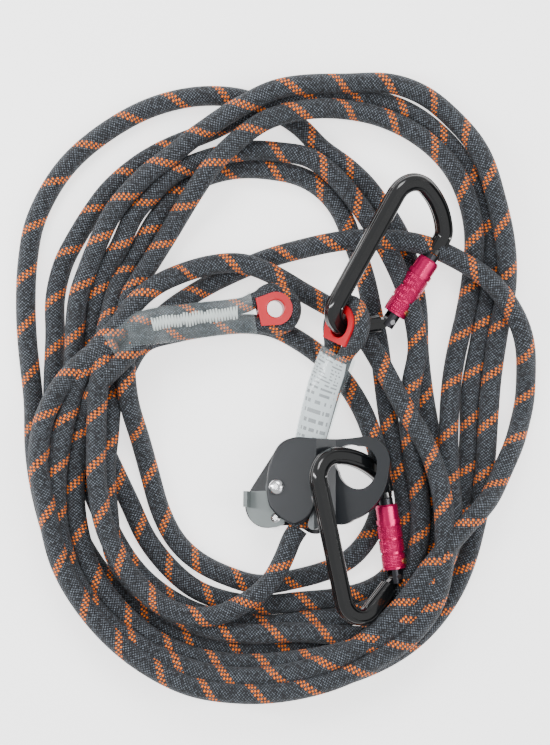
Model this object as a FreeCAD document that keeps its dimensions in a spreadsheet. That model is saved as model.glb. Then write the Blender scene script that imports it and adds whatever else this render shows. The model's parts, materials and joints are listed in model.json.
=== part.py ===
import FreeCAD, Part

import math
import os

import Sketcher
from FreeCAD import Placement, Rotation, Vector

# Rope adjuster (ascender) with its lanyard rope and two triple-lock connectors, lying on a floor.
# Millimetres, +Z up, floor at z = 0. The origin is on the floor, under the middle of the hardware.
# Local frames: the device has its X across the side plates, Y up along the rope and Z out of the
# front plate; a connector has X from spine to gate, Y towards its wide end, Z out of its face.

doc = FreeCAD.newDocument("ascender")
sheet = doc.addObject("Spreadsheet::Sheet", "sizes")

SIZES = {
    # rope
    "rope_diameter": 12.0,
    "rope_gap": 0.3,
    "rope_slant_deg": 7.7,
    # device side plates
    "plate_gap_half": 7.0,
    "plate_thickness": 3.8,
    "eye_plate_thickness": 3.2,
    "joggle_start": 22.0,
    "joggle_end": 33.0,
    "plate_edge_round": 1.0,
    # rivets
    "rivet_shank_radius": 2.5,
    "rivet_head_radius": 4.9,
    "rivet_head_height": 2.6,
    "guide_head_radius": 4.2,
    "guide_head_height": 1.0,
    "running_clearance": 0.06,
    "through_cut": 20.0,
    # rope guide beside the rope
    "guide_bush_radius": 5.7,
    "guide_finger_half": 3.1,
    # release lever and cam
    "cam_radius": 6.3,
    "cam_offset": 1.7,
    "cam_half_height": 3.0,
    "cheek_thickness": 2.6,
    "cheek_low": 3.2,
    "tab_height": 9.0,
    "tab_thickness": 2.4,
    "lever_rivet_radius": 1.6,
    "lever_rivet_head": 2.9,
    "spring_coil_radius": 4.3,
    "spring_wire_radius": 0.5,
    "spring_pitch": 1.1,
    # connector frame
    "bar_half_width": 5.0,
    "bar_half_depth": 4.5,
    "bar_groove_half": 2.0,
    "bar_groove_depth": 1.2,
    "spine_x": 5.0,
    "spine_run": 71.6,
    "crown_radius": 13.0,
    "shoulder_radius": 48.0,
    "nose_bend_radius": 9.0,
    "nose_run": 6.8,
    "nose_x": 49.6,
    "nose_y": 58.0,
    "foot_radius": 11.5,
    "foot_run": 19.0,
    "neck_radius": 4.1,
    "neck_length": 3.0,
    "key_length": 3.2,
    "key_thickness": 3.4,
    # gate and its lock
    "hinge_x": 45.0,
    "hinge_y": 7.5,
    "gate_lean_deg": 5.3,
    "gate_radius": 4.3,
    "gate_length": 46.9,
    "gate_tail": 3.8,
    "tongue_thickness": 4.0,
    "tongue_radius": 3.7,
    "fork_slot": 4.3,
    "fork_depth": 4.4,
    "hinge_pin_radius": 1.6,
    "bush_start": 5.4,
    "bush_radius": 5.3,
    "bush_length": 38.0,
    "sleeve_start": 4.8,
    "sleeve_length": 38.6,
    "sleeve_radius": 7.4,
    "lock_pin_radius": 1.8,
    "lock_pin_place": 4.2,
    # sewn eyes
    "thimble_half_height": 6.6,
    "thimble_flange": 1.6,
    "thimble_leg": 10.6,
    "tail_bore_radius": 5.1,
    "head_bore_radius": 7.4,
    "thimble_wall": 1.3,
    "thimble_lip": 4.8,
    "loop_half_width": 4.5,
    "loop_half_height": 4.7,
    "loop_leg_radius": 12.0,
    "loop_leg_deg": 50.0,
    # coil: the height of two layers of rope, and of one layer pressed flat under the hardware
    "coil_high": 24.6,
    "coil_low": 9.2,
}
for row, (alias, value) in enumerate(SIZES.items(), start=1):
    sheet.set(f"A{row}", alias.replace("_", " "))
    sheet.set(f"B{row}", str(value))
    sheet.setAlias(f"B{row}", alias)
doc.recompute()


def size(alias):
    """A driving dimension's value, read from the sheet."""
    return float(getattr(sheet, alias))


NODES = []


def keep(node, label, frame=None):
    """Name a sub-part for its file and put it in its place."""
    node.Label = label
    if frame is not None:
        node.Placement = frame
    NODES.append(node)
    return node


# ---------------------------------------------------------------- where the assemblies lie

DEVICE_NORMAL = Vector(-0.22, 0.10, 0.97)
DEVICE = Placement(Vector(-38.95, -51.4, 16.0), Rotation(Vector(0, 0, 1), DEVICE_NORMAL))


def connector_frame(spine_foot, heading, pitch, roll):
    """Where a connector lies: its spine's foot, then its heading, pitch and roll in degrees."""
    turn = (
        Rotation(Vector(0, 0, 1), heading)
        * Rotation(Vector(1, 0, 0), pitch)
        * Rotation(Vector(0, 1, 0), roll)
    )
    foot_in_connector = Vector(size("spine_x"), 0, 0)
    return Placement(spine_foot - turn.multVec(foot_in_connector), turn)


CONNECTORS = {
    "lower": connector_frame(Vector(-1.5, -119.2, 39.1), 11.8, 1.0, 32.5),
    "upper": connector_frame(Vector(-7.4, 56.45, 39.5), -28.8, 5.0, 34.0),
}

GATE_IN_CONNECTOR = Placement(
    Vector(size("hinge_x"), size("hinge_y"), 0),
    Rotation(Vector(0, 0, 1), -size("gate_lean_deg")),
)



def eye_frame(centre, heading, pitch, roll):
    """Where a sewn eye lies: X points from its bore to its sleeve, Z along the bore."""
    turn = (
        Rotation(Vector(0, 0, 1), heading)
        * Rotation(Vector(0, 1, 0), pitch)
        * Rotation(Vector(1, 0, 0), roll)
    )
    return Placement(centre, turn)


HEAD_EYE = eye_frame(Vector(0.0, 45.0, 30.4), -106.0, 10.0, 50.0)
TAIL_EYE = eye_frame(Vector(-42.4, 55.4, 20.0), 192.0, -6.0, 0.0)


# ---------------------------------------------------------------- sketch and feature helpers


def origin_plane(body, role):
    """One of a body's own three origin planes."""
    return next(plane for plane in body.Origin.OriginFeatures if plane.Role == role)


def new_body(name):
    return doc.addObject("PartDesign::Body", name)


def new_sketch(body, name, role="XY_Plane", offset=0.0):
    """A sketch on one of the body's origin planes, lifted along the plane's normal."""
    sketch = body.newObject("Sketcher::SketchObject", name)
    sketch.AttachmentSupport = [(origin_plane(body, role), "")]
    sketch.MapMode = "FlatFace"
    sketch.AttachmentOffset = Placement(Vector(0, 0, offset), Rotation())
    return sketch


def draw_outline(sketch, start, moves):
    """Add a closed outline: each move is an end point, or a (middle, end) pair for an arc."""
    here = start
    for move in moves:
        if isinstance(move[0], tuple):
            middle, end = move
            arc = Part.Arc(Vector(*here, 0), Vector(*middle, 0), Vector(*end, 0))
            sketch.addGeometry(arc, False)
        else:
            end = move
            sketch.addGeometry(Part.LineSegment(Vector(*here, 0), Vector(*end, 0)), False)
        here = end


def draw_circle(sketch, centre, radius_alias):
    """Add a circle whose radius is bound to the sheet."""
    circle = Part.Circle(Vector(*centre, 0), Vector(0, 0, 1), size(radius_alias))
    index = sketch.addGeometry(circle, False)
    from_sheet = sketch.addConstraint(Sketcher.Constraint("Radius", index, size(radius_alias)))
    sketch.setExpression(f"Constraints[{from_sheet}]", f"sizes.{radius_alias}")


def pad(body, sketch, length, symmetric=False):
    """Extrude a sketch by a sheet expression."""
    feature = body.newObject("PartDesign::Pad", sketch.Name + "_pad")
    feature.Profile = sketch
    feature.setExpression("Length", length)
    feature.Midplane = symmetric
    body.Tip = feature
    return feature


def primitive(kind, name, place, **sizes):
    """A Part primitive whose sizes are sheet expressions."""
    shape = doc.addObject("Part::" + kind, name)
    for prop, expression in sizes.items():
        shape.setExpression(prop, expression)
    shape.Placement = place
    return shape


def cut(name, base, tool):
    result = doc.addObject("Part::Cut", name)
    result.Base = base
    result.Tool = tool
    return result


def fuse(name, shapes):
    result = doc.addObject("Part::MultiFuse", name)
    result.Shapes = shapes
    return result


ALONG_Y = Rotation(Vector(0, 0, 1), Vector(0, 1, 0))


# ---------------------------------------------------------------- device: side plates

EYE_START = (47.0, 24.6)
EYE_MOVES = [
    ((56.2, 21.2), (58.9, 13.5)),
    ((57.0, 5.0), (50.8, -0.4)),
    ((43.0, 0.2), (35.6, 9.6)),
    ((34.8, 21.0), (47.0, 24.6)),
]
GUIDE_CENTRE = (25.4, -6.5)
LOBE_MOVES = [
    ((63.6, 24.4), (66.0, 11.0)),
    ((61.2, -5.4), (44.4, -19.2)),
    ((36.8, -22.0), (29.4, -19.6)),
]
FRONT_START = (14.4, 29.7)
FRONT_MOVES = [
    ((32.0, 28.7), (52.0, 30.6)),
    *LOBE_MOVES,
    (22.8, -11.4),
    ((17.6, -18.8), (10.2, -22.2)),
    ((2.4, -18.4), (-4.8, -10.8)),
    ((-6.4, 3.0), (-2.5, 19.5)),
    ((4.0, 27.2), (14.4, 29.7)),
]
REAR_START = (7.0, 30.2)
REAR_MOVES = [
    ((30.0, 28.7), (52.0, 30.6)),
    *LOBE_MOVES,
    ((24.0, -26.6), (14.0, -25.4)),
    ((4.0, -22.6), (-5.0, -23.4)),
    ((-18.6, -21.0), (-22.4, -5.0)),
    (-19.0, 1.0),
    (-5.4, 22.0),
    ((0.0, 28.4), (7.0, 30.2)),
]


def plate_outline(name, start, moves):
    """A tall prism of a plate's outline with its eye and rivet holes."""
    body = new_body(name)
    sketch = new_sketch(body, name + "_sketch")
    draw_outline(sketch, start, moves)
    draw_outline(sketch, EYE_START, EYE_MOVES)
    draw_circle(sketch, (0, 0), "rivet_shank_radius")
    draw_circle(sketch, GUIDE_CENTRE, "rivet_shank_radius")
    pad(body, sketch, "2 * (sizes.plate_gap_half + 2 * sizes.plate_thickness)", symmetric=True)
    return body


def plate_strip(name, side):
    """The sheet that a plate is pressed from, seen along Y: flat, stepped in at the eye."""
    gap, thick, thin = size("plate_gap_half"), size("plate_thickness"), size("eye_plate_thickness")
    bend_in, bend_out = size("joggle_start"), size("joggle_end")
    left, right = -30.0, 75.0
    profile = [
        (left, gap),
        (bend_in, gap),
        (bend_out, 0.0),
        (right, 0.0),
        (right, thin),
        (bend_out + 1.2, thin),
        (bend_in + 1.8, gap + thick),
        (left, gap + thick),
        (left, gap),
    ]
    body = new_body(name)
    sketch = new_sketch(body, name + "_sketch", "XZ_Plane")
    points = [(x, side * z) for x, z in profile]
    draw_outline(sketch, points[0], points[1:])
    pad(body, sketch, "6 * sizes.through_cut", symmetric=True)
    return body


def side_plate(label, side, start, moves):
    """A pressed side plate: its outline cut out of the stepped sheet, with square edges."""
    plate = doc.addObject("Part::MultiCommon", label)
    plate.Shapes = [
        plate_outline(label + "_outline", start, moves),
        plate_strip(label + "_strip", side),
    ]
    return plate


def raised_rim(plate):
    """The numbers of the edges round the raised flat of a plate, without its bend and its holes."""
    doc.recompute()
    face_height = size("plate_gap_half") + size("plate_thickness")
    rim = []
    for index, edge in enumerate(plate.Shape.Edges, start=1):
        box = edge.BoundBox
        on_face = box.ZMin > face_height - 0.01
        bend = box.XLength < 0.01 and box.YLength > 8.0
        hole = box.XLength < 5.1 and box.YLength < 5.1 and edge.isClosed()
        if on_face and not bend and not hole:
            rim.append(index)
    return rim


front_blank = side_plate("front_plate_blank", 1, FRONT_START, FRONT_MOVES)
front_plate = doc.addObject("Part::Fillet", "front_plate")
front_plate.Base = front_blank
rim_round = size("plate_edge_round")
front_plate.Edges = [(index, rim_round, rim_round) for index in raised_rim(front_blank)]
keep(front_plate, "front_plate", DEVICE)
keep(side_plate("rear_plate", -1, REAR_START, REAR_MOVES), "rear_plate", DEVICE)


# ---------------------------------------------------------------- device: rivets, guide, spring


def rivet(label, half_grip, place, head="rivet_head"):
    """A rivet with a domed head on both ends, turned about Z."""
    shank_r, head_r = size("rivet_shank_radius"), size(head + "_radius")
    dome = size(head + "_height")
    waist_x, waist_z = 0.78 * head_r, 0.66 * dome
    crown = 0.3 * head_r
    body = new_body(label)
    sketch = new_sketch(body, label + "_sketch", "XZ_Plane")
    draw_outline(
        sketch,
        (0, -half_grip - dome),
        [
            (crown, -half_grip - dome),
            ((waist_x, -half_grip - waist_z), (head_r, -half_grip)),
            (shank_r, -half_grip),
            (shank_r, half_grip),
            (head_r, half_grip),
            ((waist_x, half_grip + waist_z), (crown, half_grip + dome)),
            (0, half_grip + dome),
            (0, -half_grip - dome),
        ],
    )
    turned = body.newObject("PartDesign::Revolution", label + "_turned")
    turned.Profile = sketch
    turned.ReferenceAxis = (sketch, ["V_Axis"])
    turned.Angle = 360.0
    body.Tip = turned
    return keep(body, label, place)


plate_face = size("plate_gap_half") + size("plate_thickness")
rivet("rivet_main", plate_face, DEVICE)


def rope_guide():
    """The fixed bush on the right of the rope, with a finger that leads the rope out."""
    body = new_body("rope_guide_blank")
    sketch = new_sketch(body, "rope_guide_sketch")
    centre = Vector(*GUIDE_CENTRE, 0)
    tip = Vector(21.4, -22.0, 0)
    half, radius = size("guide_finger_half"), size("guide_bush_radius")
    along = (tip - centre).normalize()
    across = Vector(-along.y, along.x, 0)
    root = math.sqrt(radius**2 - half**2)
    corners = [
        centre + along * root - across * half,
        tip - across * half,
        tip + along * half,
        tip + across * half,
        centre + along * root + across * half,
        centre - along * radius,
    ]
    start, left, end, right, back, top = [(p.x, p.y) for p in corners]
    draw_outline(sketch, start, [left, (end, right), back, (top, start)])
    draw_circle(sketch, GUIDE_CENTRE, "rivet_shank_radius")
    pad(body, sketch, "2 * sizes.plate_gap_half", symmetric=True)
    between = new_body("rope_guide_gap")
    section = new_sketch(between, "rope_guide_gap_sketch", "XZ_Plane")
    gap, left = size("plate_gap_half"), 0.0
    bend_in, bend_out = size("joggle_start"), size("joggle_end")
    draw_outline(
        section,
        (left, -gap),
        [(bend_in, -gap), (bend_out, 0.0), (bend_in, gap), (left, gap), (left, -gap)],
    )
    pad(between, section, "12 * sizes.guide_bush_radius", symmetric=True)
    fitted = doc.addObject("Part::MultiCommon", "rope_guide_fitted")
    fitted.Shapes = [body, between]
    return keep(fitted, "rope_guide", DEVICE)


rope_guide()


guide_place = DEVICE * Placement(Vector(*GUIDE_CENTRE, 0), Rotation())
rivet("rivet_guide", plate_face, guide_place, "guide_head")


def torsion_spring():
    """The lever's return spring: a few turns of wire round the main rivet."""
    low = -size("plate_gap_half") + size("spring_wire_radius") + 0.1
    body = new_body("torsion_spring")
    wire = new_sketch(body, "torsion_spring_wire", "XZ_Plane")
    draw_circle(wire, (size("spring_coil_radius"), 0), "spring_wire_radius")
    coil = body.newObject("PartDesign::AdditiveHelix", "torsion_spring_coil")
    coil.Profile = wire
    coil.ReferenceAxis = (wire, ["V_Axis"])
    coil.Mode = "pitch-turns-angle"
    coil.setExpression("Pitch", "sizes.spring_pitch")
    coil.Turns = 2.4
    coil.Angle = 0.0
    body.Tip = coil
    return keep(body, "torsion_spring", DEVICE * Placement(Vector(0, 0, low), Rotation()))


torsion_spring()


# ---------------------------------------------------------------- device: release lever


LEVER_RIVET_CENTRE = (-1.6, -18.2)
TAB_EDGE = -19.4


def lever_cheek():
    """The lever's sheet cheek with its bent-up thumb tab, turning on the main rivet."""
    body = new_body("lever_cheek_blank")
    sketch = new_sketch(body, "lever_cheek_sketch", offset=size("cheek_low"))
    draw_outline(
        sketch,
        (TAB_EDGE, -2.6),
        [
            (-7.6, -2.2),
            ((-5.6, 5.4), (0.0, 7.9)),
            ((5.6, 5.6), (7.9, 0.0)),
            ((7.4, -7.0), (5.0, -12.0)),
            (3.6, -21.6),
            ((-3.0, -24.0), (-11.0, -23.2)),
            ((-17.4, -18.4), (TAB_EDGE, -12.0)),
            (TAB_EDGE, -2.6),
        ],
    )
    index = sketch.addGeometry(
        Part.Circle(Vector(0, 0, 0), Vector(0, 0, 1), size("rivet_shank_radius")), False
    )
    bore = sketch.addConstraint(Sketcher.Constraint("Radius", index, size("rivet_shank_radius")))
    sketch.setExpression(
        f"Constraints[{bore}]", "sizes.rivet_shank_radius + sizes.running_clearance"
    )
    pad(body, sketch, "sizes.cheek_thickness")
    tab = new_sketch(body, "lever_tab_sketch", offset=size("cheek_low"))
    inner = TAB_EDGE + size("tab_thickness")
    draw_outline(tab, (TAB_EDGE, -12.0), [(inner, -12.0), (inner, -2.6), (TAB_EDGE, -2.6), (TAB_EDGE, -12.0)])
    pad(body, tab, "sizes.cheek_thickness + sizes.tab_height")
    drilled = cut(
        "lever_cheek_drilled",
        body,
        primitive(
            "Cylinder",
            "lever_rivet_hole",
            Placement(Vector(*LEVER_RIVET_CENTRE, 0), Rotation()),
            Radius="sizes.lever_rivet_radius",
            Height="4 * sizes.cheek_thickness",
        ),
    )
    return keep(drilled, "lever_cheek", DEVICE)


lever_cheek()


def lever_cam():
    """The cam that pinches the rope, with the arm that the lever rivet fixes to the cheek."""
    body = new_body("lever_cam_blank")
    sketch = new_sketch(body, "lever_cam_sketch")
    lean = math.radians(-7.7)
    centre = (size("cam_offset") * math.cos(lean), size("cam_offset") * math.sin(lean))
    draw_circle(sketch, centre, "cam_radius")
    index = sketch.addGeometry(
        Part.Circle(Vector(0, 0, 0), Vector(0, 0, 1), size("rivet_shank_radius")), False
    )
    bore = sketch.addConstraint(Sketcher.Constraint("Radius", index, size("rivet_shank_radius")))
    sketch.setExpression(
        f"Constraints[{bore}]", "sizes.rivet_shank_radius + sizes.running_clearance"
    )
    pad(body, sketch, "2 * sizes.cam_half_height", symmetric=True)
    arm = new_sketch(body, "lever_cam_arm")
    draw_outline(
        arm,
        (-4.0, -3.6),
        [
            (4.6, -3.6),
            (1.8, -18.6),
            ((-1.6, -21.8), (-4.9, -18.6)),
            (-4.0, -3.6),
        ],
    )
    pad(body, arm, "2 * sizes.cam_half_height", symmetric=True)
    drilled = cut(
        "lever_cam_drilled",
        body,
        primitive(
            "Cylinder",
            "lever_cam_hole",
            Placement(Vector(*LEVER_RIVET_CENTRE, -10.0), Rotation()),
            Radius="sizes.lever_rivet_radius",
            Height="sizes.through_cut",
        ),
    )
    return keep(drilled, "lever_cam", DEVICE)


lever_cam()


def lever_rivet():
    """The small rivet that joins the cam to the cheek: a low head above, flush below."""
    shank = primitive(
        "Cylinder",
        "lever_rivet_shank",
        Placement(Vector(0, 0, -size("cam_half_height")), Rotation()),
        Radius="sizes.lever_rivet_radius",
        Height="sizes.cam_half_height + sizes.cheek_low + sizes.cheek_thickness",
    )
    head = primitive(
        "Cone",
        "lever_rivet_dome",
        Placement(Vector(0, 0, size("cheek_low") + size("cheek_thickness")), Rotation()),
        Radius1="sizes.lever_rivet_head",
        Radius2="sizes.lever_rivet_head * 0.55",
        Height="0.34 * sizes.lever_rivet_head",
    )
    place = DEVICE * Placement(Vector(*LEVER_RIVET_CENTRE, 0), Rotation())
    return keep(fuse("lever_rivet", [shank, head]), "lever_rivet", place)


lever_rivet()


# ---------------------------------------------------------------- connectors


def bar_path(body, name):
    """The connector frame's centre line, from its nose down the spine to the hinge."""
    sketch = new_sketch(body, name)
    here = Vector(size("nose_x"), size("nose_y"), 0)
    heading = Vector(0, 1, 0)
    steps = [
        (size("nose_run"), None),
        (size("nose_bend_radius"), 40.0),
        (size("shoulder_radius"), 38.0),
        (size("crown_radius"), 102.0),
        (size("spine_run"), None),
        (size("foot_radius"), 122.0),
        (size("foot_run"), None),
    ]
    for length, turn in steps:
        if turn is None:
            end = here + heading * length
            sketch.addGeometry(Part.LineSegment(here, end), False)
        else:
            centre = here + Vector(-heading.y, heading.x, 0) * length
            spoke = here - centre
            middle = centre + Rotation(Vector(0, 0, 1), turn / 2).multVec(spoke)
            end = centre + Rotation(Vector(0, 0, 1), turn).multVec(spoke)
            sketch.addGeometry(Part.Arc(here, middle, end), False)
            heading = Rotation(Vector(0, 0, 1), turn).multVec(heading)
        here = end
    return sketch, here, heading


def bar_profile(body, name):
    """The bar's section: round flanks and a shallow groove in both faces."""
    wide, deep = size("bar_half_width"), size("bar_half_depth")
    groove, floor = size("bar_groove_half"), deep - size("bar_groove_depth")
    rail = groove + 0.7
    shoulder = 0.64 * wide
    x = size("nose_x")
    sketch = new_sketch(body, name, "XZ_Plane", -size("nose_y"))
    flank = ((x + 0.93 * wide, 0.66 * deep), (x + wide, 0))
    low_flank = ((x + 0.93 * wide, -0.66 * deep), (x + shoulder, -deep))
    far_flank = ((x - 0.93 * wide, -0.66 * deep), (x - wide, 0))
    far_top = ((x - 0.93 * wide, 0.66 * deep), (x - shoulder, deep))
    draw_outline(
        sketch,
        (x + shoulder, deep),
        [
            flank,
            low_flank,
            (x + rail, -deep),
            (x + groove, -floor),
            (x - groove, -floor),
            (x - rail, -deep),
            (x - shoulder, -deep),
            far_flank,
            far_top,
            (x - rail, deep),
            (x - groove, floor),
            (x + groove, floor),
            (x + rail, deep),
            (x + shoulder, deep),
        ],
    )
    return sketch


def connector_body(which, frame):
    """The forged frame: bar, hinge tongue, nose neck and nose key."""
    name = "body_" + which
    body = new_body(name + "_forging")
    path, foot_end, foot_heading = bar_path(body, name + "_path")
    profile = bar_profile(body, name + "_profile")
    bar = body.newObject("PartDesign::AdditivePipe", name + "_bar")
    bar.Profile = profile
    bar.Spine = (path, [])
    body.Tip = bar

    neck = new_sketch(body, name + "_neck", "XZ_Plane", -size("nose_y"))
    draw_circle(neck, (size("nose_x"), 0), "neck_radius")
    pad(body, neck, "sizes.neck_length")

    key = new_sketch(body, name + "_key", "XZ_Plane", -size("nose_y") + size("neck_length"))
    half = size("key_thickness") / 2
    left, right = size("nose_x") - 2.0, size("nose_x") + 3.4
    draw_outline(key, (left, -half), [(right, -half), (right, half), (left, half), (left, -half)])
    pad(body, key, "sizes.key_length")

    hinge = Vector(size("hinge_x"), size("hinge_y"), 0)
    radius = size("tongue_radius")
    side = Vector(-foot_heading.y, foot_heading.x, 0)
    root = foot_end - foot_heading * 3.0
    corners = [
        root - side * 3.6,
        hinge + Vector(radius, 0, 0),
        hinge + Vector(0, radius, 0),
        hinge - Vector(radius, 0, 0),
        root + side * 3.6,
    ]
    start, right, top, left, end = [(p.x, p.y) for p in corners]
    tongue = new_sketch(body, name + "_tongue")
    draw_outline(tongue, start, [right, (top, left), end, start])
    pad(body, tongue, "sizes.tongue_thickness", symmetric=True)

    hole = primitive(
        "Cylinder",
        name + "_pin_hole",
        Placement(hinge - Vector(0, 0, 10), Rotation()),
        Radius="sizes.hinge_pin_radius",
        Height="sizes.through_cut",
    )
    return keep(cut(name + "_drilled", body, hole), name, frame)


def connector_gate(which, frame):
    """The round gate: a fork at the hinge and an open slot for the nose key at its top."""
    name = "gate_" + which
    rod = primitive(
        "Cylinder",
        name + "_rod",
        Placement(Vector(0, -size("gate_tail"), 0), ALONG_Y),
        Radius="sizes.gate_radius",
        Height="sizes.gate_tail + sizes.gate_length",
    )
    slot = size("fork_slot")
    fork = primitive(
        "Box",
        name + "_fork",
        Placement(Vector(-10, -10, -slot / 2), Rotation()),
        Length="sizes.through_cut",
        Width="sizes.through_cut / 2 + sizes.fork_depth",
        Height="sizes.fork_slot",
    )
    catch = primitive(
        "Box",
        name + "_catch",
        Placement(Vector(-2.5, size("gate_length") - 3.6, -2.0), Rotation()),
        Length="sizes.through_cut / 2",
        Width="sizes.key_length + 1.8",
        Height="sizes.key_thickness + 0.6",
    )
    pin_hole = primitive(
        "Cylinder",
        name + "_pin_hole",
        Placement(Vector(0, 0, -10), Rotation()),
        Radius="sizes.hinge_pin_radius + sizes.running_clearance",
        Height="sizes.through_cut",
    )
    tools = fuse(name + "_tools", [fork, catch, pin_hole])
    return keep(cut(name, rod, tools), name, frame * GATE_IN_CONNECTOR)


def connector_pin(which, frame):
    """The hinge pin, flush in the gate's fork."""
    half = size("gate_radius") - 0.4
    place = frame * GATE_IN_CONNECTOR * Placement(Vector(0, 0, -half), Rotation())
    pin = primitive(
        "Cylinder",
        "hinge_pin_" + which,
        place,
        Radius="sizes.hinge_pin_radius",
        Height="2 * (sizes.gate_radius - 0.4)",
    )
    return keep(pin, "hinge_pin_" + which)


def lock_bush(which, frame):
    """The thin bush that slides on the gate under the locking sleeve."""
    name = "lock_bush_" + which
    place = Placement(Vector(0, size("bush_start"), 0), ALONG_Y)
    outer = primitive(
        "Cylinder", name + "_outer", place, Radius="sizes.bush_radius", Height="sizes.bush_length"
    )
    inner = primitive(
        "Cylinder",
        name + "_bore",
        place,
        Radius="sizes.gate_radius + sizes.running_clearance",
        Height="sizes.bush_length",
    )
    return keep(cut(name, outer, inner), name, frame * GATE_IN_CONNECTOR)


SLEEVE_STEPS = [
    # start and end along the sleeve, as shares of its length, and its radius as a share
    (0.00, 0.03, 0.92),
    (0.03, 0.24, 0.97),
    (0.24, 0.27, 0.90),
    (0.27, 0.45, 1.00),
    (0.45, 0.48, 0.90),
    (0.48, 0.67, 1.00),
    (0.67, 0.70, 0.91),
    (0.70, 0.77, 0.99),
    (0.77, 0.80, 0.90),
]


def lock_sleeve(which, frame):
    """The grooved locking sleeve, turned about the gate's axis, with the hole for its pin."""
    name = "lock_sleeve_" + which
    length, radius = size("sleeve_length"), size("sleeve_radius")
    bore = size("bush_radius") + size("running_clearance")
    low = size("sleeve_start")
    points = [(bore, low)]
    for begin, end, share in SLEEVE_STEPS:
        points.append((radius * share, low + begin * length))
        points.append((radius * share, low + end * length))
    points += [
        (radius * 0.93, low + 0.80 * length),
        (radius * 0.86, low + 0.97 * length),
        (radius * 0.80, low + length),
        (bore, low + length),
        (bore, low),
    ]
    body = new_body(name + "_turned")
    sketch = new_sketch(body, name + "_sketch")
    draw_outline(sketch, points[0], points[1:])
    turned = body.newObject("PartDesign::Revolution", name + "_turning")
    turned.Profile = sketch
    turned.ReferenceAxis = (sketch, ["V_Axis"])
    turned.Angle = 360.0
    body.Tip = turned
    hole = primitive(
        "Cylinder",
        name + "_pin_hole",
        lock_pin_place(),
        Radius="sizes.lock_pin_radius",
        Height="3 * sizes.sleeve_radius",
    )
    return keep(cut(name, body, hole), name, frame * GATE_IN_CONNECTOR)


def lock_pin_place():
    """The lock pin's axis: square to the gate, near the sleeve's foot."""
    outward = Rotation(Vector(0, 1, 0), -68.0).multVec(Vector(1, 0, 0))
    base = Vector(0, size("sleeve_start") + size("lock_pin_place"), 0)
    wall = size("bush_radius") + size("running_clearance")
    return Placement(base + outward * (wall + 0.15), Rotation(Vector(0, 0, 1), outward))


def lock_pin(which, frame):
    """The brass pin in the sleeve's wall."""
    pin = primitive(
        "Cylinder",
        "lock_pin_" + which,
        frame * GATE_IN_CONNECTOR * lock_pin_place(),
        Radius="sizes.lock_pin_radius",
        Height="sizes.sleeve_radius - sizes.bush_radius + 0.5",
    )
    return keep(pin, "lock_pin_" + which)


for which, frame in CONNECTORS.items():
    connector_body(which, frame)
    connector_gate(which, frame)
    connector_pin(which, frame)
    lock_bush(which, frame)
    lock_sleeve(which, frame)
    lock_pin(which, frame)


# ---------------------------------------------------------------- sewn eyes of the lanyard


def thimble(label, frame, bore_alias):
    """A thimble: a core with a wedge between the rope's legs, two flanges and a flared bore."""
    half = size("thimble_half_height")
    bore = size(bore_alias)
    core = bore + size("thimble_wall")
    rim = bore + size("thimble_lip")
    leg = size("thimble_leg")
    body = new_body(label + "_blank")
    middle = new_sketch(body, label + "_core")
    side = core * math.cos(math.radians(40)), core * math.sin(math.radians(40))
    tip = (leg, 1.1)
    draw_outline(
        middle,
        side,
        [((-core, 0.0), (side[0], -side[1])), (tip[0], -tip[1]), tip, side],
    )
    pad(body, middle, "2 * sizes.thimble_half_height", symmetric=True)
    for name, low in (("top", half - size("thimble_flange")), ("bottom", -half)):
        flange = new_sketch(body, f"{label}_{name}", offset=low)
        draw_outline(
            flange,
            (0, rim),
            [
                ((-rim, 0.0), (0, -rim)),
                (leg, -0.84 * rim),
                (leg, 0.84 * rim),
                (0, rim),
            ],
        )
        pad(body, flange, "sizes.thimble_flange")
    bore_tool = primitive(
        "Cylinder",
        label + "_bore",
        Placement(Vector(0, 0, -10), Rotation()),
        Radius=f"sizes.{bore_alias}",
        Height="sizes.through_cut",
    )
    drilled = cut(label + "_drilled", body, bore_tool)
    doc.recompute()
    rims = [
        index
        for index, edge in enumerate(drilled.Shape.Edges, start=1)
        if edge.isClosed() and abs(edge.BoundBox.XLength - 2 * bore) < 0.2
    ]
    flared = doc.addObject("Part::Fillet", label + "_flared")
    flared.Base = drilled
    flared.Edges = [(index, 1.2, 1.2) for index in rims]
    return keep(flared, label, frame)


def loop_line(bore_alias):
    """The eye loop's centre line round its thimble: a leg, the round of the core, a leg."""
    radius = size(bore_alias) + size("thimble_wall") + size("loop_half_width") + size("rope_gap")
    leg, lean = size("loop_leg_radius"), math.radians(size("loop_leg_deg"))
    touch = Vector(radius * math.cos(lean), radius * math.sin(lean), 0)
    end = touch + Vector(leg * math.cos(lean), -leg * (1 - math.sin(lean)), 0)
    hub = end + Vector(0, leg, 0)
    half_lean = math.radians(270 - (90 - size("loop_leg_deg")) / 2)
    middle = hub + Vector(leg * math.cos(half_lean), leg * math.sin(half_lean), 0)

    def flip(point):
        return Vector(point.x, -point.y, 0)

    edges = [
        Part.Arc(end, middle, touch).toShape(),
        Part.Arc(touch, Vector(-radius, 0, 0), flip(touch)).toShape(),
        Part.Arc(flip(touch), flip(middle), flip(end)).toShape(),
    ]
    return Part.Wire(edges), end


def flat_section(centre, normal, across, half_width, half_height):
    """An ellipse of the given half sizes, its long axis along `across`."""
    if half_width >= half_height:
        ellipse = Part.Ellipse(Vector(0, 0, 0), half_width, half_height)
        turn = Rotation(across, normal.cross(across), normal, "ZXY")
    else:
        ellipse = Part.Ellipse(Vector(0, 0, 0), half_height, half_width)
        turn = Rotation(normal.cross(across), -across, normal, "ZXY")
    edge = ellipse.toShape()
    edge.Placement = Placement(centre, turn)
    return Part.Wire([edge])


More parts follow.
